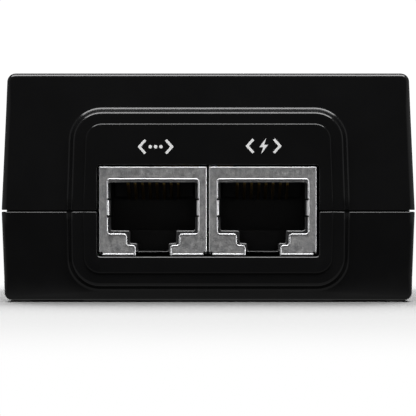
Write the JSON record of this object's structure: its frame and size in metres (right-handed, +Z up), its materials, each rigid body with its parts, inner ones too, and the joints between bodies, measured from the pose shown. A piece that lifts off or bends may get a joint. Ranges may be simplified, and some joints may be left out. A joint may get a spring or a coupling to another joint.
{
  "type": "poe injector",
  "caption": "Black two-shell mains brick with two shielded network jacks in a raised front panel; it adds power to the network cable plugged into one of them.",
  "frame": {"origin": "on the table, under the middle of the case", "axes": "-Y is the front with the two network jacks, +Y is the rear with the mains inlet, +Z is up"},
  "size_m": [0.0584, 0.09, 0.0323],
  "materials": {
    "case_plastic": "satin black moulded plastic with a fine spark texture",
    "foot_rubber": "matt black rubber pad",
    "screw_steel": "zinc-plated pan head with a cross recess",
    "shield_metal": "tin-plated pressed sheet, mottled, with bright cut edges",
    "jack_plastic": "black glass-filled moulding",
    "contact_gold": "gold-plated spring wire",
    "inlet_plastic": "black moulding",
    "inlet_pin": "nickel-plated blade",
    "insulation_brown": "wire insulation",
    "insulation_blue": "wire insulation",
    "insulation_green": "green and yellow wire insulation",
    "board": "green solder mask over glass laminate",
    "component_black": "moulded component body",
    "capacitor_sleeve": "shrink sleeve over an aluminium can",
    "ferrite": "dark grey ground ferrite",
    "winding": "enamelled copper wire",
    "transformer_tape": "yellow polyester tape over the winding",
    "bobbin_plastic": "black moulding",
    "heatsink": "extruded, unpainted",
    "x_capacitor_case": "yellow moulded box",
    "fuse_body": "pale ceramic tube with end caps",
    "led_lens": "green tinted lens",
    "light_pipe": "clear moulded rod",
    "label": "blank grey rating label"
  },
  "bodies": {
    "case": {"bottom_shell": "case_plastic", "bridge_rectifier": "component_black", "bulk_capacitor": "capacitor_sleeve", "case_screw_1": "screw_steel", "case_screw_2": "screw_steel", "case_screw_3": "screw_steel", "case_screw_4": "screw_steel", "circuit_board": "board", "data_jack_contact_insert": "jack_plastic", "data_jack_housing": "jack_plastic", "data_jack_shield": "shield_metal", "data_transformer": "component_black", "earth_lead": "insulation_green", "foot_1": "foot_rubber", "foot_2": "foot_rubber", "foot_3": "foot_rubber", "foot_4": "foot_rubber", "fuse": "fuse_body", "inlet_body": "inlet_plastic", "inlet_earth_pin": "inlet_pin", "inlet_line_pin": "inlet_pin", "inlet_neutral_pin": "inlet_pin", "light_pipe": "light_pipe", "line_choke_core": "ferrite", "line_choke_winding_1": "winding", "line_choke_winding_2": "winding", "line_lead": "insulation_brown", "neutral_lead": "insulation_blue", "optocoupler": "component_black", "output_capacitor_1": "capacitor_sleeve", "output_capacitor_2": "capacitor_sleeve", "output_diode": "component_black", "power_jack_contact_insert": "jack_plastic", "power_jack_housing": "jack_plastic", "power_jack_shield": "shield_metal", "power_led": "led_lens", "primary_heatsink": "heatsink", "primary_switch": "component_black", "rating_label": "label", "top_shell": "case_plastic", "transformer_bobbin": "bobbin_plastic", "transformer_core": "ferrite", "transformer_winding": "transformer_tape", "x_capacitor": "x_capacitor_case"},
    "data_contacts": {"data_jack_contact_1": "contact_gold", "data_jack_contact_2": "contact_gold", "data_jack_contact_3": "contact_gold", "data_jack_contact_4": "contact_gold", "data_jack_contact_5": "contact_gold", "data_jack_contact_6": "contact_gold", "data_jack_contact_7": "contact_gold", "data_jack_contact_8": "contact_gold"},
    "power_contacts": {"power_jack_contact_1": "contact_gold", "power_jack_contact_2": "contact_gold", "power_jack_contact_3": "contact_gold", "power_jack_contact_4": "contact_gold", "power_jack_contact_5": "contact_gold", "power_jack_contact_6": "contact_gold", "power_jack_contact_7": "contact_gold", "power_jack_contact_8": "contact_gold"}
  },
  "joints": [
    {"name": "data_contacts_flex", "type": "hinge", "parent": "case", "child": "data_contacts", "pos_m": [-0.00773, -0.0423, 0.01675], "axis": [1, 0, 0], "range_deg": [0, 10], "stiffness_Nm_per_rad": 0.5, "springref_deg": -2.86},
    {"name": "power_contacts_flex", "type": "hinge", "parent": "case", "child": "power_contacts", "pos_m": [0.00773, -0.0423, 0.01675], "axis": [1, 0, 0], "range_deg": [0, 10], "stiffness_Nm_per_rad": 0.5, "springref_deg": -2.86}
  ]
}
